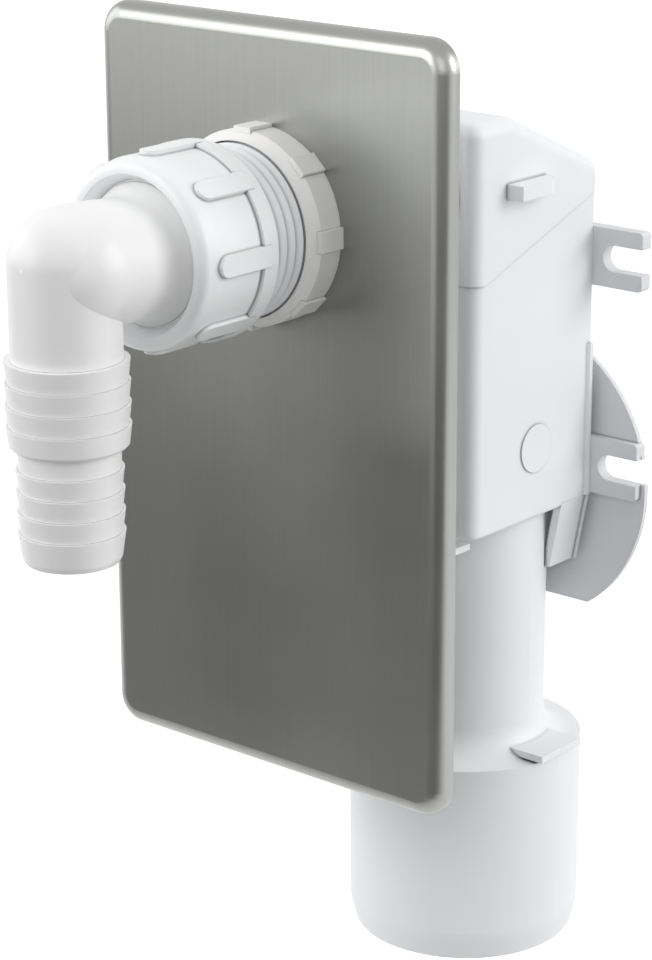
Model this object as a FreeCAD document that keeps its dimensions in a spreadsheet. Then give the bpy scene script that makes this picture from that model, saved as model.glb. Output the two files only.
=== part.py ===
import FreeCAD, Part
import os
import re
import Sketcher

# Concealed washing machine trap, in millimetres. X runs across the cover plate, Y into the wall and
# Z up. The waste outlet's axis is X = Y = 0, and the shoulder of its spigot is Z = 0.

SIZES = [
    ("plate_width", "86", "cover plate across"),
    ("plate_height", "150", "cover plate from bottom to top"),
    ("plate_bottom", "11", "cover plate's lower edge above the spigot's shoulder"),
    ("plate_reach", "63.8", "cover plate's face ahead of the outlet axis"),
    ("plate_fold", "4.2", "depth of the folded edge"),
    ("plate_sheet", "0.8", "stainless sheet"),
    ("plate_bend", "3.2", "outer radius of the fold"),
    ("plate_corner", "6", "corner radius seen from the front"),
    ("inlet_height", "122.5", "inlet axis above the shoulder"),
    ("thread_radius", "16.6", "crest of the one inch pipe thread"),
    ("thread_depth", "0.9", "crest to root"),
    ("thread_pitch", "2.309", "eleven threads to the inch"),
    ("thread_reach", "28.3", "end of the inlet tube ahead of the plate"),
    ("thread_start", "42", "rear end of the thread ahead of the outlet axis"),
    ("thread_gap", "0.3", "clearance of nut, ring and plate on the thread's crest"),
    ("inlet_bore", "11.5", "bore radius of the inlet tube"),
    ("ring_radius", "18.8", "lock ring between its lugs"),
    ("ring_lug", "0.6", "height of a lug"),
    ("ring_lug_width", "4.1", "width of a lug"),
    ("ring_lug_length", "6.2", "length of a lug"),
    ("ring_thick", "7.8", "lock ring front to back"),
    ("ring_narrow", "1.8", "how much the front face narrows"),
    ("ring_slope", "2.2", "how far the front face slopes forward"),
    ("nut_start", "17.4", "union nut's rear face ahead of the plate"),
    ("nut_length", "18.6", "union nut front to back"),
    ("nut_radius", "18.8", "rear flange and ribs"),
    ("nut_recess", "0.8", "depth of the panels between the ribs"),
    ("nut_flange", "3.7", "width of the rear flange"),
    ("nut_wall", "3", "front wall that holds the elbow"),
    ("nut_shoulder", "3.6", "length of the tapered shoulder ahead of the ribs"),
    ("nut_taper", "0.6", "how much the shoulder narrows"),
    ("nut_round", "1.9", "rounding of the front rim"),
    ("mouth_radius", "13.6", "hole in the nut's front wall"),
    ("mouth_flare", "1.4", "how much the hole widens to the front"),
    ("rib_width", "4.1", "width of a rib"),
    ("rib_length", "13.2", "rear face to the centre of the rib's round nose"),
    ("seal_thick", "2", "union seal"),
    ("seal_radius", "15.9", "union seal and elbow flange"),
    ("arm_radius", "11.2", "elbow's horizontal arm at the nut"),
    ("arm_swell", "0.9", "how much the arm grows to the corner"),
    ("ball_back", "2.8", "ball corner's centre behind the hose tail's axis"),
    ("arm_reach", "53.2", "hose tail's axis ahead of the plate"),
    ("collar_gap", "0.4", "elbow collar inside the nut's mouth"),
    ("collar_front", "33.6", "front of the collar ahead of the plate"),
    ("collar_cone", "4.2", "length of the cone from collar to arm"),
    ("collar_flare", "5", "hollow rounding of that cone"),
    ("leg_radius", "10.1", "elbow's vertical leg"),
    ("dome_rise", "2", "centre of the leg's dome above the inlet axis"),
    ("leg_bore", "7.5", "bore of the elbow"),
    ("barb_drop", "15.25", "inlet axis to the first wide barb"),
    ("barb_pitch", "3.99", "wide barbs"),
    ("barb_crest", "11.3", "wide barbs at their shoulders"),
    ("barb_root", "10.85", "wide barbs at their lower ends"),
    ("barb_end", "31.3", "inlet axis to the end of the wide barbs"),
    ("barb_bevel", "0.4", "bevel at that end"),
    ("small_drop", "35.35", "inlet axis to the first narrow barb"),
    ("small_pitch", "3.93", "narrow barbs"),
    ("small_crest", "9.8", "narrow barbs at their shoulders"),
    ("small_root", "9.3", "narrow barbs at their lower ends"),
    ("tail_drop", "52.8", "inlet axis to the tail's end"),
    ("tail_end", "9.1", "radius at the tail's end"),
    ("tail_bevel", "0.9", "bevel at the tail's end"),
    ("body_half", "20", "half the width of the trap's box"),
    ("body_draft", "0.45", "how much narrower the lower box is at its front"),
    ("body_inset", "0.2", "how much narrower the lower box is at its back"),
    ("body_front", "24.4", "box's front ahead of the outlet axis"),
    ("body_back", "15.7", "box's open back behind the outlet axis"),
    ("body_bottom", "52.5", "box's underside"),
    ("roof_rise", "15.2", "box's flat roof above the inlet axis"),
    ("roof_break", "11.8", "where the roof starts to slope, ahead of the outlet axis"),
    ("roof_back_rise", "3.1", "roof's back end above the inlet axis"),
    ("step_drop", "17", "diagonal step's lower end below the inlet axis"),
    ("step_start", "20.8", "diagonal step's front end ahead of the outlet axis"),
    ("step_back_drop", "3.9", "diagonal step's back end below the inlet axis"),
    ("body_wall", "2.5", "wall of the box"),
    ("front_round", "3", "upright front edges and roof's edges of the box"),
    ("bottom_round", "1", "lower edges of the box"),
    ("flare_out", "0.5", "how far the rim at the back edge stands out"),
    ("flare_deep", "1.8", "depth of that rim"),
    ("flare_drop", "36", "upper end of the rim below the inlet axis"),
    ("peg_front", "14.5", "peg's front end ahead of the outlet axis"),
    ("peg_length", "13.2", "peg from front to back"),
    ("peg_out", "4.1", "peg's height on the side"),
    ("peg_root", "0.5", "how far the peg starts inside the side"),
    ("peg_drop", "0.7", "peg's lower face below the inlet axis"),
    ("peg_thick", "3", "peg from lower to upper face"),
    ("mark_radius", "5.1", "round mark on the side"),
    ("mark_ahead", "2.9", "mark's centre ahead of the outlet axis"),
    ("mark_height", "67.8", "mark's centre above the shoulder"),
    ("mark_proud", "0.3", "how far the mark stands out"),
    ("skirt_front", "6.6", "skirt's front edge behind the outlet axis"),
    ("skirt_bottom", "38.7", "skirt's lower edge"),
    ("skirt_lean", "2.9", "how far the skirt leans in"),
    ("skirt_wall", "2", "skirt's wall"),
    ("neck_radius", "17", "neck of the outlet"),
    ("neck_bore", "14.8", "bore of the neck"),
    ("neck_sink", "1", "how far the neck runs into the floor of the box"),
    ("neck_round", "6", "hollow rounding from neck to shoulder"),
    ("spigot_radius", "25", "waste spigot, nominal size fifty"),
    ("spigot_wall", "2.2", "wall of the spigot"),
    ("spigot_length", "44", "shoulder to the spigot's end"),
    ("spigot_lead", "5.5", "length of the lead-in taper"),
    ("spigot_taper", "1.3", "how much the lead-in narrows"),
    ("lead_round", "8", "rounding at the start of the lead-in"),
    ("end_round", "1", "outer edge of the spigot's end"),
    ("tab_half", "6.9", "half the width of the shoulder tab"),
    ("tab_reach", "25.8", "shoulder tab's outer edge from the axis"),
    ("tab_thick", "1.5", "shoulder tab"),
    ("tab_lift", "0.5", "shoulder tab's underside above the shoulder"),
    ("lip_half", "15", "half the width of the lip under the box"),
    ("lip_back", "18.6", "lip's back edge ahead of the outlet axis"),
    ("lip_front", "28", "lip's front edge ahead of the outlet axis"),
    ("lip_low", "48.8", "lip's underside"),
    ("lip_thick", "1.4", "lip's thickness"),
    ("weir_drop", "7", "weir below the lowest line of the inlet bore"),
    ("weir_bore", "9.2", "bore of the standing outlet"),
    ("weir_wall", "1.6", "wall of the standing outlet"),
    ("dip_front", "15.6", "dip wall's front face ahead of the outlet axis"),
    ("dip_thick", "2", "baffle's thickness"),
    ("dip_passage", "9", "height of the water way under the dip wall"),
    ("dip_back_drop", "4.9", "baffle's back end below the inlet axis"),
    ("ear_thick", "3", "slotted ears from the box's back edge to the wall"),
    ("lid_thick", "2.5", "how far the lid reaches into the box"),
    ("seat_gap", "0.2", "lid's clearance in the box and around the neck"),
    ("disc_radius", "33.2", "round flange"),
    ("disc_height", "55.4", "round flange's centre"),
    ("disc_bottom", "28.4", "flat lower edge of the round flange"),
    ("disc_thick", "1.2", "round flange's thickness"),
    ("ear_reach", "32.1", "ends of the slotted ears from the middle"),
    ("ear_half", "6.2", "half the height of an ear"),
    ("ear_upper_drop", "17.4", "upper slots below the inlet axis"),
    ("ear_lower", "60.1", "lower slots' height"),
    ("slot_radius", "2.78", "half the width of a slot"),
    ("slot_end", "25.1", "centre of a slot's round end from the middle"),
    ("ear_round", "0.9", "corners of the ears"),
]
NAMES = {alias for alias, size, meaning in SIZES}

# Heights and planes that hang on other sizes.
HEIGHTS = {
    "body_top": "(inlet_height + roof_rise)",
    "roof_back": "(inlet_height + roof_back_rise)",
    "step_front": "(inlet_height - step_drop)",
    "step_back": "(inlet_height - step_back_drop)",
    "flare_top": "(inlet_height - flare_drop)",
    "peg_low": "(inlet_height - peg_drop)",
    "weir_height": "(inlet_height - inlet_bore - weir_drop)",
    "dip_lip": "(body_bottom + body_wall + dip_passage)",
    "dip_back": "(inlet_height - dip_back_drop)",
    "lid_top": "(roof_back - body_wall - seat_gap)",
    "wall_plane": "(body_back + ear_thick)",
    "ear_upper": "(inlet_height - ear_upper_drop)",
}
RING_LUGS = 8
NUT_RIBS = 8
BARBS = 4

doc = FreeCAD.newDocument("washing_machine_trap")
sheet = doc.addObject("Spreadsheet::Sheet", "Sizes")
for row, (alias, size, meaning) in enumerate(SIZES, start=1):
    sheet.set(f"A{row}", meaning)
    sheet.set(f"B{row}", size)
    sheet.setAlias(f"B{row}", alias)
doc.recompute()


def linked(text):
    """An expression with each size's name pointed at its cell."""

    def cell(word):
        name = word.group()
        if name in HEIGHTS:
            return linked(HEIGHTS[name])
        return "Sizes." + name if name in NAMES else name

    return re.sub(r"[a-z_]+", cell, text)


def amount(text):
    """What an expression comes to now."""
    return float(sheet.evalExpression(linked(text)))


def new_body(name):
    body = doc.addObject("PartDesign::Body", name)
    body.Label = name
    return body


def face_the_room(body):
    """Places a body that is drawn on the inlet axis: its z runs out of the wall from the plate's face."""
    body.Placement.Rotation = FreeCAD.Rotation(FreeCAD.Vector(1, 0, 0), 90)
    body.setExpression("Placement.Base.y", linked("-plate_reach"))
    body.setExpression("Placement.Base.z", linked("inlet_height"))


def new_sketch(body, name, role, lift, shift):
    sketch = body.newObject("Sketcher::SketchObject", name)
    plane = next(feature for feature in body.Origin.OriginFeatures if feature.Role == role)
    sketch.AttachmentSupport = (plane, [""])
    sketch.MapMode = "FlatFace"
    sketch.setExpression("AttachmentOffset.Base.z", linked(lift))
    sketch.setExpression("AttachmentOffset.Base.y", linked(shift))
    return sketch


def bind(sketch, kind, where, start, text):
    place = sketch.addConstraint(Sketcher.Constraint(kind, *where, start))
    sketch.setExpression(f"Constraints[{place}]", linked(text))


def outline(body, name, role, points, lift="0", shift="0"):
    """A closed outline whose corners are expressions of the sheet."""
    sketch = new_sketch(body, name, role, lift, shift)
    corners = [FreeCAD.Vector(amount(x), amount(y), 0) for x, y in points]
    last = len(points)
    for i in range(last):
        sketch.addGeometry(Part.LineSegment(corners[i], corners[(i + 1) % last]), False)
    for i in range(last):
        sketch.addConstraint(Sketcher.Constraint("Coincident", i, 2, (i + 1) % last, 1))
    for i in range(last):
        bind(sketch, "DistanceX", (-1, 1, i, 1), corners[i].x, points[i][0])
        bind(sketch, "DistanceY", (-1, 1, i, 1), corners[i].y, points[i][1])
    return sketch


def circle(body, name, role, centre, radius, lift="0", shift="0"):
    sketch = new_sketch(body, name, role, lift, shift)
    middle = FreeCAD.Vector(amount(centre[0]), amount(centre[1]), 0)
    sketch.addGeometry(Part.Circle(middle, FreeCAD.Vector(0, 0, 1), amount(radius)), False)
    bind(sketch, "DistanceX", (-1, 1, 0, 3), middle.x, centre[0])
    bind(sketch, "DistanceY", (-1, 1, 0, 3), middle.y, centre[1])
    bind(sketch, "Radius", (0,), amount(radius), radius)
    return sketch


def oblong(x_from, x_to, y_from, y_to):
    return [(x_from, y_from), (x_to, y_from), (x_to, y_to), (x_from, y_to)]


def pad(body, sketch, depth, both_ways=False):
    feature = body.newObject("PartDesign::Pad", sketch.Name + "_pad")
    feature.Profile = sketch
    feature.setExpression("Length", linked(depth))
    feature.SideType = "Symmetric" if both_ways else "One side"
    return feature


def cut(body, sketch, depth, both_ways=False):
    """Cuts along the sketch's own normal, or evenly to both sides of it."""
    feature = body.newObject("PartDesign::Pocket", sketch.Name + "_cut")
    feature.Profile = sketch
    feature.setExpression("Length", linked(depth))
    feature.SideType = "Symmetric" if both_ways else "One side"
    feature.Reversed = not both_ways
    return feature


def turned(body, sketch, axis, hollow=False):
    kind = "Groove" if hollow else "Revolution"
    feature = body.newObject("PartDesign::" + kind, sketch.Name + "_turned")
    feature.Profile = sketch
    feature.ReferenceAxis = (sketch, [axis])
    feature.Angle = 360
    return feature


def around(body, features, count):
    """Repeats features evenly about the body's own z."""
    axis = next(feature for feature in body.Origin.OriginFeatures if feature.Role == "Z_Axis")
    pattern = body.newObject("PartDesign::PolarPattern", features[0].Name + "_around")
    pattern.Originals = features
    pattern.Axis = (axis, [""])
    pattern.Angle = 360
    pattern.Occurrences = count
    body.Tip = pattern
    return pattern


def rounded(body, name, radius, chosen):
    """Rounds the edges whose boxes are chosen."""
    doc.recompute()
    base = body.Tip
    edges = [f"Edge{i}" for i, edge in enumerate(base.Shape.Edges, 1) if chosen(edge.BoundBox)]
    if not edges:
        raise RuntimeError(f"{name}: no edge to round")
    feature = body.newObject("PartDesign::Fillet", name)
    feature.Base = (base, edges)
    feature.setExpression("Radius", linked(radius))
    return feature


def near(a, b):
    return abs(a - b) < 0.02


def ring_edge(height, width):
    """Chooses the round edges that have a width at a height."""
    level = amount(height)
    across = amount(width)
    return lambda box: near(box.ZMin, level) and near(box.ZMax, level) and near(box.XLength, across)


# Trap housing: a polypropylene box with the threaded inlet tube, the neck and the waste spigot in one
# moulding. Its back is open for the lid.
housing = new_body("trap_housing")
lower_front = "body_front - body_draft"
lower_half = "body_half - body_draft"
plan = [
    (f"-({lower_half})", f"-({lower_front})"),
    (lower_half, f"-({lower_front})"),
    ("body_half - body_inset", "body_back"),
    ("body_inset - body_half", "body_back"),
]
pad(housing, outline(housing, "lower_box", "XY_Plane", plan, "body_bottom"), "step_back - body_bottom")
upper = [
    ("-body_front", "step_front"),
    ("-step_start", "step_front"),
    ("body_back", "step_back"),
    ("body_back", "roof_back"),
    ("-roof_break", "body_top"),
    ("-body_front", "body_top"),
]
pad(housing, outline(housing, "upper_box", "YZ_Plane", upper), "2 * body_half", True)
front_line = -amount(lower_front) + 0.02
roof_line = amount("roof_back") - 0.02
flat_roof = -amount("roof_break") - 1


def box_edge(box):
    """The upright front edges, and the roof's edges but for the one at the back."""
    upright = box.ZLength > 20 and box.XLength < 0.01 and box.YMax < front_line
    roof = box.ZMin > roof_line and (box.XLength < 0.01 or box.YMax < flat_roof)
    return upright or roof


rounded(housing, "box_edges", "front_round", box_edge)
floor_line = amount("body_bottom")
back_line = amount("body_back") - 0.5
rounded(
    housing,
    "bottom_edges",
    "bottom_round",
    lambda box: near(box.ZMin, floor_line) and near(box.ZMax, floor_line) and box.YMin < back_line,
)

# A thin rim runs down the lower part of the back edge, and pegs and skirts stand on both sides.
skirt_top = "body_bottom + bottom_round"
for side in (1, -1):
    hand = "right" if side > 0 else "left"
    rim = [
        (f"{side} * (body_half - flare_out)", "body_back - flare_deep"),
        (f"{side} * (body_half + flare_out)", "body_back - flare_deep / 2"),
        (f"{side} * (body_half + flare_out)", "body_back"),
        (f"{side} * (body_half - flare_out)", "body_back"),
    ]
    pad(housing, outline(housing, f"rim_{hand}", "XY_Plane", rim, skirt_top), f"flare_top - ({skirt_top})")

    peg = [
        (f"{side} * (body_half - peg_root)", "-peg_front"),
        (f"{side} * (body_half + peg_out)", "-peg_front"),
        (f"{side} * (body_half + peg_out)", "peg_length * 0.72 - peg_front"),
        (f"{side} * (body_half + peg_out * 0.86)", "peg_length * 0.84 - peg_front"),
        (f"{side} * (body_half + peg_out * 0.5)", "peg_length * 0.94 - peg_front"),
        (f"{side} * (body_half - peg_root)", "peg_length - peg_front"),
    ]
    pad(housing, outline(housing, f"peg_{hand}", "XY_Plane", peg, "peg_low"), "peg_thick")

    # The skirt walls lean in below the box, one on each side of the neck, with the rim along their backs.
    walls = [("skirt", "0", "body_back - skirt_front"), ("skirt_rim", "flare_out", "flare_deep / 2")]
    for name, out, depth in walls:
        wall = [
            (f"{side} * (body_half - body_inset + {out})", skirt_top),
            (f"{side} * (body_half - body_inset + {out} - skirt_lean)", "skirt_bottom"),
            (f"{side} * (body_half - skirt_lean - skirt_wall)", "skirt_bottom"),
            (f"{side} * (body_half - skirt_wall)", skirt_top),
        ]
        pad(housing, outline(housing, f"{name}_{hand}", "XZ_Plane", wall, "-body_back"), depth)

# Inlet tube with its thread, drawn as ridges of the true pitch.
tube_end = "-plate_reach - thread_reach"
ridges = int((amount("plate_reach + thread_reach - thread_start")) / amount("thread_pitch"))
tube = [("1 - body_front", "0"), ("1 - body_front", "thread_radius - thread_depth")]
for i in range(ridges, 0, -1):
    tube.append((f"{tube_end} + ({i} + 0.25) * thread_pitch", "thread_radius - thread_depth"))
    tube.append((f"{tube_end} + ({i} - 0.25) * thread_pitch", "thread_radius"))
tube.append((f"{tube_end} + 0.25 * thread_pitch", "thread_radius - thread_depth"))
tube.append((tube_end, "thread_radius - thread_depth"))
tube.append((tube_end, "0"))
turned(housing, outline(housing, "inlet_tube", "YZ_Plane", tube, "0", "inlet_height"), "H_Axis")

# Neck and waste spigot below the box.
outlet = [
    ("0", "body_bottom + neck_sink"),
    ("neck_radius", "body_bottom + neck_sink"),
    ("neck_radius", "0"),
    ("spigot_radius", "0"),
    ("spigot_radius", "spigot_lead - spigot_length"),
    ("spigot_radius - spigot_taper", "-spigot_length"),
    ("0", "-spigot_length"),
]
turned(housing, outline(housing, "outlet", "XZ_Plane", outlet), "V_Axis")
rounded(housing, "neck_foot", "neck_round", ring_edge("0", "2 * neck_radius"))
rounded(housing, "lead_edge", "lead_round", ring_edge("spigot_lead - spigot_length", "2 * spigot_radius"))
rounded(housing, "end_edge", "end_round", ring_edge("-spigot_length", "2 * (spigot_radius - spigot_taper)"))
tab = oblong("neck_radius - 0.5", "tab_reach", "-tab_half", "tab_half")
pad(housing, outline(housing, "shoulder_tab", "XY_Plane", tab, "tab_lift"), "tab_thick")
lip = [
    ("-lip_half", "-lip_front"),
    ("lip_half", "-lip_front"),
    ("lip_half", "-lip_back"),
    ("tab_half", "-lip_back"),
    ("tab_half", "-neck_bore - 1"),
    ("-tab_half", "-neck_bore - 1"),
    ("-tab_half", "-lip_back"),
    ("-lip_half", "-lip_back"),
]
pad(housing, outline(housing, "under_lip", "XY_Plane", lip, "lip_low"), "lip_thick")

# The chamber inside the box, open at the back, and the standing outlet whose rim is the weir.
roof_fall = "(body_top - roof_back) / (body_back + roof_break)"
chamber = [
    ("body_wall - body_front", "body_bottom + body_wall"),
    ("body_back + 1", "body_bottom + body_wall"),
    ("body_back + 1", f"roof_back - body_wall - {roof_fall}"),
    ("-roof_break", "body_top - body_wall"),
    ("body_wall - body_front", "body_top - body_wall"),
]
cut(housing, outline(housing, "chamber", "YZ_Plane", chamber), "2 * (body_half - body_wall)", True)
weir = circle(housing, "weir", "XY_Plane", ("0", "0"), "weir_bore + weir_wall", "body_bottom + 1")
pad(housing, weir, "weir_height - body_bottom - 1")
bores = [
    ("0", "-spigot_length - 1"),
    ("spigot_radius - spigot_taper - spigot_wall", "-spigot_length - 1"),
    ("spigot_radius - spigot_taper - spigot_wall", "-spigot_wall * 2"),
    ("neck_bore", "-spigot_wall"),
    ("neck_bore", "body_bottom"),
    ("weir_bore", "body_bottom"),
    ("weir_bore", "weir_height + 1"),
    ("0", "weir_height + 1"),
]
turned(housing, outline(housing, "waste_bore", "XZ_Plane", bores), "V_Axis", True)
feed = oblong(f"{tube_end} - 1", "body_wall + 0.5 - body_front", "0", "inlet_bore")
turned(housing, outline(housing, "inlet_hole", "YZ_Plane", feed, "0", "inlet_height"), "H_Axis", True)
slope = "(body_draft - body_inset) * (mark_ahead + body_back) / (body_front + body_back)"
for side in (1, -1):
    hand = "right" if side > 0 else "left"
    start = f"{side} * (body_half - body_inset - {slope}) - mark_proud"
    mark = circle(housing, f"mark_{hand}", "YZ_Plane", ("-mark_ahead", "mark_height"), "mark_radius", start)
    pad(housing, mark, "2 * mark_proud")

# Back plate: a lid let into the box's open back, with the round flange and four slotted ears against
# the wall.
back = new_body("back_plate")
lid_half = "body_half - body_wall - seat_gap"
lid = oblong(f"-({lid_half})", lid_half, "body_bottom + body_wall + seat_gap", "lid_top")
lid_back = "wall_plane - disc_thick"
pad(
    back,
    outline(back, "lid", "XZ_Plane", lid, f"-({lid_back})"),
    f"{lid_back} - body_back + lid_thick",
)
for place in ("upper", "lower"):
    height = f"ear_{place}"
    ear = oblong("-ear_reach", "ear_reach", f"{height} - ear_half", f"{height} + ear_half")
    pad(back, outline(back, f"ears_{place}", "XZ_Plane", ear, "-wall_plane"), "ear_thick")
ear_tip = amount("ear_reach")
rounded(
    back,
    "ear_corners",
    "ear_round",
    lambda box: box.YLength > 2 and near(max(abs(box.XMin), abs(box.XMax)), ear_tip),
)
pad(
    back,
    circle(back, "flange", "XZ_Plane", ("0", "disc_height"), "disc_radius", "-wall_plane"),
    "disc_thick",
)
below = oblong("-2 * disc_radius", "2 * disc_radius", "disc_height - 2 * disc_radius", "disc_bottom")
cut(back, outline(back, "flange_cut", "XZ_Plane", below, "-wall_plane - 1"), "disc_thick + 2")
through = "ear_thick + 2"
for place in ("upper", "lower"):
    height = f"ear_{place}"
    for side in (1, -1):
        hand = "right" if side > 0 else "left"
        end = circle(
            back,
            f"slot_end_{place}_{hand}",
            "XZ_Plane",
            (f"{side} * slot_end", height),
            "slot_radius",
            "-wall_plane - 1",
        )
        cut(back, end, through)
        gap = oblong(
            f"{side} * slot_end",
            f"{side} * (disc_radius + 2)",
            f"{height} - slot_radius",
            f"{height} + slot_radius",
        )
        cut(back, outline(back, f"slot_{place}_{hand}", "XZ_Plane", gap, "-wall_plane - 1"), through)
# The flange and the lid keep clear of the neck.
cut(
    back,
    circle(back, "neck_seat", "XY_Plane", ("0", "0"), "neck_radius + seat_gap", "disc_bottom - 1"),
    "body_bottom + neck_sink + seat_gap - disc_bottom + 1",
)

# Dip baffle: a bent plate inside the box. Water passes under its lip and rises to the weir.
baffle = new_body("dip_baffle")
fall = "(step_back - step_front) / (body_back + step_start)"
lid_front = "body_back - lid_thick"
bend = f"dip_back - {fall} * ({lid_front} + dip_front)"
section = [
    ("-dip_front", "dip_lip"),
    ("dip_thick - dip_front", "dip_lip"),
    ("dip_thick - dip_front", f"{bend} + {fall} * dip_thick - dip_thick"),
    (lid_front, "dip_back - dip_thick"),
    (lid_front, "dip_back"),
    ("-dip_front", bend),
]
pad(baffle, outline(baffle, "section", "YZ_Plane", section), "2 * (body_half - body_wall)", True)

# Cover plate: a stainless tray with folded edges and one hole for the inlet.
plate = new_body("cover_plate")
face_the_room(plate)
low = "plate_bottom - inlet_height"
sheet_face = oblong("-plate_width / 2", "plate_width / 2", low, f"{low} + plate_height")
pad(plate, outline(plate, "tray", "XY_Plane", sheet_face, "-plate_fold"), "plate_fold")
rounded(plate, "corners", "plate_corner", lambda box: box.ZLength > 1)
rounded(plate, "fold", "plate_bend", lambda box: near(box.ZMin, 0))
doc.recompute()
solid = plate.Tip
rear = amount("-plate_fold")
faces = enumerate(solid.Shape.Faces, 1)
rear_faces = [f"Face{i}" for i, face in faces if near(face.BoundBox.ZMax, rear)]
shell = plate.newObject("PartDesign::Thickness", "shell")
shell.Base = (solid, rear_faces)
shell.setExpression("Value", linked("plate_sheet"))
shell.Reversed = True
hole = circle(plate, "hole", "XY_Plane", ("0", "0"), "thread_radius + thread_gap", "-plate_fold - 1")
cut(plate, hole, "plate_fold + 2")

# Lock ring: a nut with low lugs that clamps the cover plate on the inlet thread.
ring = new_body("lock_ring")
face_the_room(ring)
ring_section = [
    ("thread_radius + thread_gap", "0"),
    ("ring_radius", "0"),
    ("ring_radius", "ring_thick - ring_slope"),
    ("ring_radius - ring_narrow", "ring_thick"),
    ("thread_radius + thread_gap", "ring_thick"),
]
turned(ring, outline(ring, "ring_section", "XZ_Plane", ring_section), "V_Axis")
lug_half = "ring_lug_width / 2"
lug = oblong("ring_radius - ring_lug", "ring_radius + ring_lug", f"-{lug_half}", lug_half)
lug_pad = pad(ring, outline(ring, "lug", "XY_Plane", lug), "ring_lug_length")
around(ring, [lug_pad], RING_LUGS)

# Union nut: a rear flange runs into round-nosed ribs, and the front wall holds the elbow's flange.
nut = new_body("union_nut")
face_the_room(nut)
nut_end = "nut_start + nut_length"
panel = "nut_radius - nut_recess"
nut_section = [
    ("thread_radius + thread_gap", "nut_start"),
    ("nut_radius", "nut_start"),
    ("nut_radius", "nut_start + nut_flange"),
    (panel, "nut_start + nut_flange"),
    (panel, f"{nut_end} - nut_shoulder"),
    (f"{panel} - nut_taper", nut_end),
    ("mouth_radius + mouth_flare", nut_end),
    ("mouth_radius", f"{nut_end} - nut_wall"),
    ("thread_radius + thread_gap", f"{nut_end} - nut_wall"),
]
turned(nut, outline(nut, "nut_section", "XZ_Plane", nut_section), "V_Axis")
rounded(nut, "rim", "nut_round", ring_edge(nut_end, f"2 * ({panel} - nut_taper)"))
rib_floor = "nut_radius - nut_recess * 1.5"
rib = oblong("-rib_width / 2", "rib_width / 2", "nut_start + nut_flange / 2", "nut_start + rib_length")
rib_pad = pad(nut, outline(nut, "rib", "YZ_Plane", rib, rib_floor), "nut_recess * 1.5")
nose = circle(nut, "rib_nose", "YZ_Plane", ("0", "nut_start + rib_length"), "rib_width / 2", rib_floor)
nose_pad = pad(nut, nose, "nut_recess * 1.5")
around(nut, [rib_pad, nose_pad], NUT_RIBS)

# Union seal: a flat washer between the inlet tube and the elbow's flange.
seal = new_body("union_seal")
face_the_room(seal)
washer = [
    ("inlet_bore", "thread_reach"),
    ("seal_radius", "thread_reach"),
    ("seal_radius", "thread_reach + seal_thick"),
    ("inlet_bore", "thread_reach + seal_thick"),
]
turned(seal, outline(seal, "washer", "XZ_Plane", washer), "V_Axis")

# Hose elbow: a flanged arm, a ball corner and a leg with two sizes of barbs for the drain hose.
elbow = new_body("hose_elbow")
face_the_room(elbow)
collar = "mouth_radius - collar_gap"
flange_back = "thread_reach + seal_thick"
flange_front = f"{nut_end} - nut_wall"
ball_at = "arm_reach - ball_back"
arm = [
    ("0", flange_back),
    ("seal_radius", flange_back),
    ("seal_radius", flange_front),
    (collar, flange_front),
    (collar, "collar_front"),
    ("arm_radius", "collar_front + collar_cone"),
    ("arm_radius + arm_swell", ball_at),
    ("0", ball_at),
]
turned(elbow, outline(elbow, "arm", "XZ_Plane", arm), "V_Axis")
rounded(elbow, "collar_hollow", "collar_flare", ring_edge("collar_front + collar_cone", "2 * arm_radius"))
ball = elbow.newObject("PartDesign::AdditiveSphere", "ball")
ball.setExpression("Radius", linked("arm_radius + arm_swell"))
ball.setExpression("Placement.Base.z", linked(ball_at))
dome = elbow.newObject("PartDesign::AdditiveSphere", "dome")
dome.setExpression("Radius", linked("leg_radius"))
dome.setExpression("Placement.Base.y", linked("dome_rise"))
dome.setExpression("Placement.Base.z", linked("arm_reach"))
leg = [("0", "dome_rise"), ("leg_radius", "dome_rise"), ("leg_radius", "-barb_drop")]
for i in range(BARBS):
    leg.append(("barb_crest", f"-barb_drop - {i} * barb_pitch"))
    if i + 1 < BARBS:
        leg.append(("barb_root", f"-barb_drop - {i + 1} * barb_pitch"))
leg.append(("barb_root", "barb_bevel - barb_end"))
leg.append(("barb_root - barb_bevel", "-barb_end"))
leg.append(("small_root", "-barb_end"))
for i in range(BARBS):
    leg.append(("small_root", f"-small_drop - {i} * small_pitch"))
    leg.append(("small_crest", f"-small_drop - {i} * small_pitch"))
leg.append(("tail_end", "tail_bevel - tail_drop"))
leg.append(("tail_end - tail_bevel / 2", "-tail_drop"))
leg.append(("0", "-tail_drop"))
turned(elbow, outline(elbow, "leg", "XY_Plane", leg, "arm_reach"), "V_Axis")
core_end = "leg_bore * 0.7"
arm_hole = circle(elbow, "arm_hole", "XY_Plane", ("0", "0"), "leg_bore", f"{flange_back} - 1")
cut(elbow, arm_hole, f"arm_reach + {core_end} - ({flange_back}) + 1")
leg_hole = circle(elbow, "leg_hole", "XZ_Plane", ("0", "arm_reach"), "leg_bore", f"-{core_end}")
cut(elbow, leg_hole, f"tail_drop + 1 + {core_end}")

doc.recompute()
for item in doc.Objects:
    if "Invalid" in item.State or "Error" in item.State:
        raise RuntimeError(f"{item.Label} failed: {item.State}")
pieces = [item for item in doc.Objects if item.TypeId == "PartDesign::Body"]
for piece in pieces:
    if piece.Shape.isNull() or not piece.Shape.isValid() or len(piece.Shape.Solids) != 1:
        raise RuntimeError(f"{piece.Label} has no single sound solid")
os.makedirs("parts", exist_ok=True)
for piece in pieces:
    piece.Shape.exportStep(f"parts/{piece.Label}.step")
    print(piece.Label, round(piece.Shape.Volume), piece.Shape.BoundBox)
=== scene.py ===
import math

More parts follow.
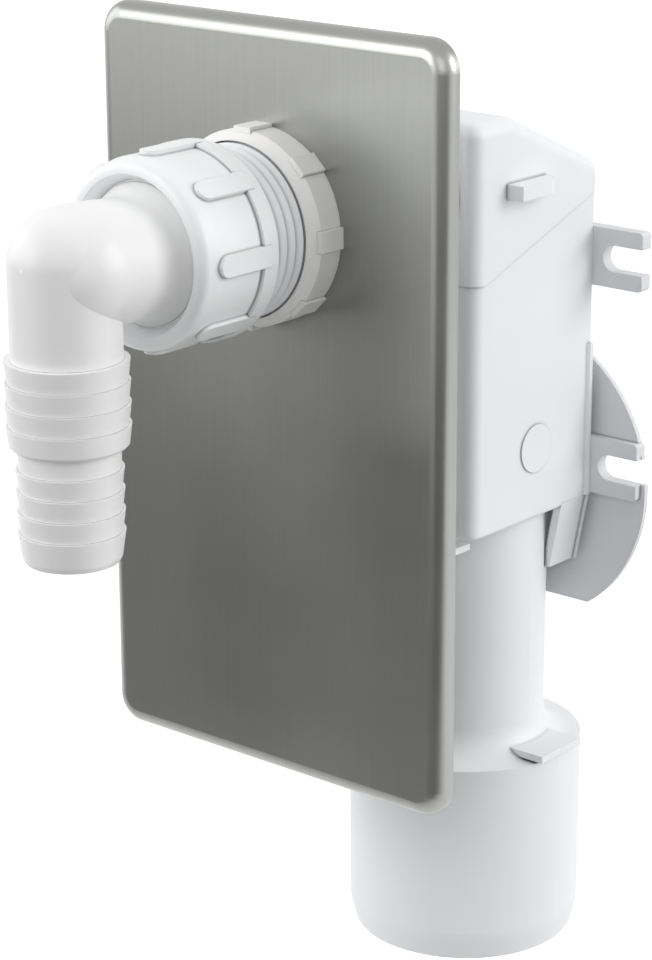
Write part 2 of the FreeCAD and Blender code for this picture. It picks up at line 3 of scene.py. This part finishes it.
import bpy
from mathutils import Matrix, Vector


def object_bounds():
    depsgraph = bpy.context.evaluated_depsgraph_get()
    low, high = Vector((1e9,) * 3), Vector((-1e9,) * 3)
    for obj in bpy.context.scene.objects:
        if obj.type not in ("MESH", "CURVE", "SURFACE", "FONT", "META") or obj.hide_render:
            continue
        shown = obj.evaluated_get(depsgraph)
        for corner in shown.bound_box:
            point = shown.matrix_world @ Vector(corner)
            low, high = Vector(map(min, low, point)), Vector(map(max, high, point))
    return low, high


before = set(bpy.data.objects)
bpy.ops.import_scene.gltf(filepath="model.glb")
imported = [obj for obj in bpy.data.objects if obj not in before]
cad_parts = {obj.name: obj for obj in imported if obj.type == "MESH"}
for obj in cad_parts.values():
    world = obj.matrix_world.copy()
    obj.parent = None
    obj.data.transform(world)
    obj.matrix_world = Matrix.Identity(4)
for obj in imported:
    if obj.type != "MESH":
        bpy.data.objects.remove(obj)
cad_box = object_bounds()

# Trap housing: the box, the threaded inlet tube, the neck and the waste spigot in one moulding.
# White polypropylene, injection moulded in a fine-sparked steel tool, so it is satin and a little soft
# to the light. It stands in the wall, held by the back plate's ears and by the waste pipe.
FLOW_MM = 30.0
SPARK_DEPTH_MM = 0.08
SCATTER_MM = 1.5
POLYPROPYLENE_IOR = 1.49


def linear(hex_colour):
    """An sRGB hex colour as linear RGBA."""
    parts = [int(hex_colour[i:i + 2], 16) / 255 for i in (1, 3, 5)]
    return [c / 12.92 if c <= 0.04045 else ((c + 0.055) / 1.055) ** 2.4 for c in parts] + [1.0]


def add(owner, kind, settings=None, links=None):
    """Adds a node to a material or the world, sets its sockets or properties by name, and links its
    inputs by name or by number."""
    node = owner.node_tree.nodes.new(kind)
    for name, value in (settings or {}).items():
        if name in node.inputs:
            node.inputs[name].default_value = value
        else:
            setattr(node, name, value)
    for name, output in (links or {}).items():
        owner.node_tree.links.new(output, node.inputs[name])
    return node


def new_material(name):
    """A material without nodes."""
    material = bpy.data.materials.new(name)
    material.use_nodes = True
    material.node_tree.nodes.clear()
    return material


def moulded_polypropylene(name, white, shade, roughness, spark_mm, edge_mm, crease_shade_mm):
    """Injection-moulded polypropylene: clean white with a faint flow tone, a fine spark-eroded grain,
    edges that the tool left slightly round, and painted shade that darkens its creases."""
    material = new_material(name)
    place = add(material, "ShaderNodeTexCoord")
    flow = add(
        material,
        "ShaderNodeTexNoise",
        {"Scale": 1000 / FLOW_MM, "Detail": 2.0, "Roughness": 0.5},
        {"Vector": place.outputs["Object"]},
    )
    tone = add(
        material,
        "ShaderNodeMixRGB",
        {"Color1": linear(white), "Color2": linear(shade)},
        {"Fac": flow.outputs["Fac"]},
    )
    # Painted shade: ambient occlusion darkens the colour in creases and in the valleys of a thread.
    painted_crease_shade = add(
        material,
        "ShaderNodeAmbientOcclusion",
        {"samples": 8, "only_local": True, "Distance": crease_shade_mm / 1000},
        {"Color": tone.outputs["Color"]},
    )
    # The true spark grain is about 0.05 mm and can't show at this size, so it is drawn coarser.
    spark = add(
        material,
        "ShaderNodeTexNoise",
        {"Scale": 1000 / spark_mm, "Detail": 3.0, "Roughness": 0.6},
        {"Vector": place.outputs["Object"]},
    )
    sheen = add(
        material,
        "ShaderNodeMapRange",
        {"From Min": 0.3, "From Max": 0.7, "To Min": roughness - 0.05, "To Max": roughness + 0.05},
        {"Value": spark.outputs["Fac"]},
    )
    edge = add(material, "ShaderNodeBevel", {"samples": 4, "Radius": edge_mm / 1000})
    grain = add(
        material,
        "ShaderNodeBump",
        {"Strength": 0.06, "Distance": SPARK_DEPTH_MM / 1000},
        {"Height": spark.outputs["Fac"], "Normal": edge.outputs["Normal"]},
    )
    surface = add(
        material,
        "ShaderNodeBsdfPrincipled",
        {
            "IOR": POLYPROPYLENE_IOR,
            "Subsurface Weight": 0.12,
            "Subsurface Radius": (1.0, 1.0, 1.0),
            "Subsurface Scale": SCATTER_MM / 1000,
        },
        {
            "Base Color": painted_crease_shade.outputs["Color"],
            "Roughness": sheen.outputs["Result"],
            "Normal": grain.outputs["Normal"],
        },
    )
    add(material, "ShaderNodeOutputMaterial", {}, {"Surface": surface.outputs["BSDF"]})
    return material


def finish_node(node, material):
    """Gives a CAD node its finish."""
    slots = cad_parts[node].data.materials
    slots.clear()
    slots.append(material)


housing_plastic = moulded_polypropylene(
    "moulded_polypropylene_white",
    white="#f5f6f8",
    shade="#f0f1f4",
    roughness=0.42,
    spark_mm=0.45,
    edge_mm=0.12,
    crease_shade_mm=0.8,
)
finish_node("trap_housing", housing_plastic)

# Back plate: the lid of the box with the round flange and the slotted ears.
# The same polypropylene, welded on by a hot plate, with a slightly duller face; its greyer colour is
# painted shade, for the shade that the cover plate casts on it.
shaded_lid_plastic = moulded_polypropylene(
    "moulded_polypropylene_lid_shaded",
    white="#e6e7e9",
    shade="#e0e1e4",
    roughness=0.48,
    spark_mm=0.5,
    edge_mm=0.3,
    crease_shade_mm=0.5,
)
finish_node("back_plate", shaded_lid_plastic)

# Dip baffle: the partition that makes the water seal, inside the box.
# The same polypropylene, slid in before the lid is welded on.
baffle_plastic = moulded_polypropylene(
    "moulded_polypropylene_baffle",
    white="#eff0f2",
    shade="#e9ebee",
    roughness=0.5,
    spark_mm=0.5,
    edge_mm=0.2,
    crease_shade_mm=0.5,
)
finish_node("dip_baffle", baffle_plastic)

# Cover plate: a shallow tray pressed from stainless sheet, ground to a satin face.
# It slips over the inlet tube and the lock ring holds it against the tiles.
SCRATCH_STRETCH = 90
SCRATCH_DEPTH_MM = 0.04
CLOUD_MM = 45.0


def satin_stainless(name, steel, shade, roughness, grit_mm):
    """Stainless sheet, satin-ground along its height: grey metal with a fine grain that only spreads
    the light sideways."""
    material = new_material(name)
    place = add(material, "ShaderNodeTexCoord")
    # The real scratches are about 0.02 mm wide, so they are drawn coarser to show at all.
    across = 1000 / grit_mm
    stretch = add(
        material,
        "ShaderNodeMapping",
        {"Scale": (across, across, across / SCRATCH_STRETCH)},
        {"Vector": place.outputs["Object"]},
    )
    scratches = add(
        material,
        "ShaderNodeTexNoise",
        {"Scale": 1.0, "Detail": 3.0, "Roughness": 0.65},
        {"Vector": stretch.outputs["Vector"]},
    )
    clouds = add(
        material,
        "ShaderNodeTexNoise",
        {"Scale": 1000 / CLOUD_MM, "Detail": 2.0},
        {"Vector": place.outputs["Object"]},
    )
    tone = add(
        material,
        "ShaderNodeMixRGB",
        {"Color1": linear(steel), "Color2": linear(shade)},
        {"Fac": scratches.outputs["Fac"]},
    )
    sheen = add(
        material,
        "ShaderNodeMapRange",
        {"From Min": 0.3, "From Max": 0.7, "To Min": roughness - 0.02, "To Max": roughness + 0.03},
        {"Value": clouds.outputs["Fac"]},
    )
    grain = add(
        material,
        "ShaderNodeBump",
        {"Strength": 0.05, "Distance": SCRATCH_DEPTH_MM / 1000},
        {"Height": scratches.outputs["Fac"]},
    )
    surface = add(
        material,
        "ShaderNodeBsdfPrincipled",
        {"Metallic": 1.0},
        {
            "Base Color": tone.outputs["Color"],
            "Roughness": sheen.outputs["Result"],
            "Normal": grain.outputs["Normal"],
        },
    )
    add(material, "ShaderNodeOutputMaterial", {}, {"Surface": surface.outputs["BSDF"]})
    return material


plate_steel = satin_stainless(
    "satin_stainless_sheet", steel="#a4a5a2", shade="#9a9b98", roughness=0.30, grit_mm=0.35
)
finish_node("cover_plate", plate_steel)

# Lock ring: a low nut with eight lugs for the fingers, screwed on the inlet thread.
# White polypropylene from another tool, a trace warmer than the box.
ring_plastic = moulded_polypropylene(
    "moulded_polypropylene_ring",
    white="#f8f7f6",
    shade="#f3f2f1",
    roughness=0.42,
    spark_mm=0.4,
    edge_mm=0.3,
    crease_shade_mm=0.3,
)
finish_node("lock_ring", ring_plastic)

# Union nut: a grip nut with round-nosed ribs that clamps the elbow's flange on the seal.
# White polypropylene, polished a little more than the box.
nut_plastic = moulded_polypropylene(
    "moulded_polypropylene_nut",
    white="#f5f6f7",
    shade="#f0f1f2",
    roughness=0.36,
    spark_mm=0.4,
    edge_mm=0.35,
    crease_shade_mm=0.6,
)
finish_node("union_nut", nut_plastic)

# Union seal: a flat washer between the inlet tube and the elbow's flange.
# Black rubber cut from moulded sheet, matt with a fine tooth.
TOOTH_MM = 0.6
TOOTH_DEPTH_MM = 0.1
seal_rubber = new_material("moulded_rubber_black")
seal_place = add(seal_rubber, "ShaderNodeTexCoord")
seal_tooth = add(
    seal_rubber,
    "ShaderNodeTexNoise",
    {"Scale": 1000 / TOOTH_MM, "Detail": 3.0},
    {"Vector": seal_place.outputs["Object"]},
)
seal_tone = add(
    seal_rubber,
    "ShaderNodeMixRGB",
    {"Color1": linear("#1d1d1e"), "Color2": linear("#262627")},
    {"Fac": seal_tooth.outputs["Fac"]},
)
seal_bump = add(
    seal_rubber,
    "ShaderNodeBump",
    {"Strength": 0.2, "Distance": TOOTH_DEPTH_MM / 1000},
    {"Height": seal_tooth.outputs["Fac"]},
)
seal_surface = add(
    seal_rubber,
    "ShaderNodeBsdfPrincipled",
    {"Roughness": 0.7, "IOR": 1.52},
    {"Base Color": seal_tone.outputs["Color"], "Normal": seal_bump.outputs["Normal"]},
)
add(seal_rubber, "ShaderNodeOutputMaterial", {}, {"Surface": seal_surface.outputs["BSDF"]})
finish_node("union_seal", seal_rubber)

# Hose elbow: a flanged arm, a ball corner and a leg with wide and narrow barbs for the drain hose.
# White polypropylene with a soft gloss. It turns in the union until the nut is tight.
elbow_plastic = moulded_polypropylene(
    "moulded_polypropylene_elbow",
    white="#f5f5f5",
    shade="#f0f0f0",
    roughness=0.34,
    spark_mm=0.4,
    edge_mm=0.3,
    crease_shade_mm=0.15,
)
finish_node("hose_elbow", elbow_plastic)

# Studio: pale paper far below the part, under a dome that is bright overhead and dims to the horizon,
# with four soft boxes. Steel needs something dark to mirror, so dark cards lie low in front, where the
# camera doesn't see them and they throw no shadow. The camera stands at the photograph's angle.
FLOOR_DROP = 0.30
FLOOR_REACH = 30.0
CARD_LEVEL = -0.10
PART_MIDDLE = Vector((0.0, -0.04, 0.08))
BOX_AWAY = 1.4
BOX_SIZE = 0.9
DOME_LEVEL = 0.78
CAMERA_AZIMUTH = 39.573
CAMERA_ELEVATION = 17.289


def seen_directly(owner, seen, other):
    """One value for rays from the camera, a mirror or a window, and another for all other rays."""
    ray = add(owner, "ShaderNodeLightPath")
    share = ray.outputs["Is Camera Ray"]
    for kind in ("Is Glossy Ray", "Is Transmission Ray"):
        either = add(owner, "ShaderNodeMath", {"operation": "MAXIMUM"}, {0: share, 1: ray.outputs[kind]})
        share = either.outputs["Value"]
    value = add(owner, "ShaderNodeMapRange", {"To Min": other, "To Max": seen}, {"Value": share})
    return value.outputs["Result"]


def paper(name, near_left, far_right, level, colour, glow):
    """A level sheet of paper. Its glow is for the camera and for mirrors, and lights nothing else."""
    (left, near), (right, far) = near_left, far_right
    corners = [(left, near, level), (right, near, level), (right, far, level), (left, far, level)]
    mesh = bpy.data.meshes.new(name)
    mesh.from_pydata(corners, [], [(0, 1, 2, 3)])
    sheet = bpy.data.objects.new(name, mesh)
    bpy.context.scene.collection.objects.link(sheet)
    material = new_material(name + "_paper")
    surface = add(
        material,
        "ShaderNodeBsdfPrincipled",
        {"Base Color": linear(colour), "Roughness": 0.9, "Emission Color": linear("#ffffff")},
        {"Emission Strength": seen_directly(material, glow, 0.0)},
    )
    add(material, "ShaderNodeOutputMaterial", {}, {"Surface": surface.outputs["BSDF"]})
    mesh.materials.append(material)
    return sheet


floor_level = cad_box[0][2] - FLOOR_DROP
paper("floor", (-FLOOR_REACH, -FLOOR_REACH), (FLOOR_REACH, FLOOR_REACH), floor_level, "#cfcfcf", 0.66)
for name, near_left, far_right in (
    ("front_card", (-1.5, -0.82), (0.15, -0.22)),
    ("side_card", (0.15, -2.4), (2.6, -0.22)),
):
    card = paper(name, near_left, far_right, CARD_LEVEL, "#545454", 0.0)
    card.visible_camera = False
    card.visible_shadow = False


def soft_box(name, direction, power):
    """A square soft box that faces the part from a direction."""
    light = bpy.data.lights.new(name, "AREA")
    light.size = BOX_SIZE
    light.energy = power
    lamp = bpy.data.objects.new(name, light)
    away = Vector(direction).normalized()
    lamp.location = PART_MIDDLE + BOX_AWAY * away
    lamp.rotation_euler = away.to_track_quat("Z", "Y").to_euler()
    bpy.context.scene.collection.objects.link(lamp)


soft_box("front_box", (-0.45, -0.85, 0.35), 8.0)
soft_box("left_box", (-0.95, -0.35, 0.30), 3.9)
soft_box("right_box", (0.55, -0.75, 0.35), 2.4)
soft_box("back_box", (0.90, 0.50, 0.40), 10.0)

world = bpy.data.worlds.new("studio")
world.use_nodes = True
world.node_tree.nodes.clear()
ray_way = add(world, "ShaderNodeTexCoord")
ray_rise = add(world, "ShaderNodeSeparateXYZ", {}, {"Vector": ray_way.outputs["Generated"]})
dome = add(
    world,
    "ShaderNodeMapRange",
    {
        "interpolation_type": "SMOOTHSTEP",
        "From Min": 0.1,
        "From Max": 0.7,
        "To Min": 0.0,
        "To Max": DOME_LEVEL,
    },
    {"Value": ray_rise.outputs["Z"]},
)
sky_level = add(
    world,
    "ShaderNodeMath",
    {"operation": "MAXIMUM"},
    {0: dome.outputs["Result"], 1: seen_directly(world, 1.0, 0.0)},
)
sky = add(world, "ShaderNodeBackground", {}, {"Color": sky_level.outputs["Value"]})
add(world, "ShaderNodeOutputWorld", {}, {"Surface": sky.outputs["Background"]})
bpy.context.scene.world = world

camera = bpy.data.cameras.new("camera")
camera.sensor_width = 36.0
camera.lens = 109.1
camera.shift_x = -0.0407
camera.shift_y = -0.0101
camera.clip_end = 50.0
viewer = bpy.data.objects.new("camera", camera)
viewer.location = (0.3576, -0.4668, 0.2413)
viewer.rotation_euler = (math.radians(90 - CAMERA_ELEVATION), 0.0, math.radians(CAMERA_AZIMUTH))
bpy.context.scene.collection.objects.link(viewer)
bpy.context.scene.camera = viewer
bpy.context.scene.view_settings.view_transform = "Standard"
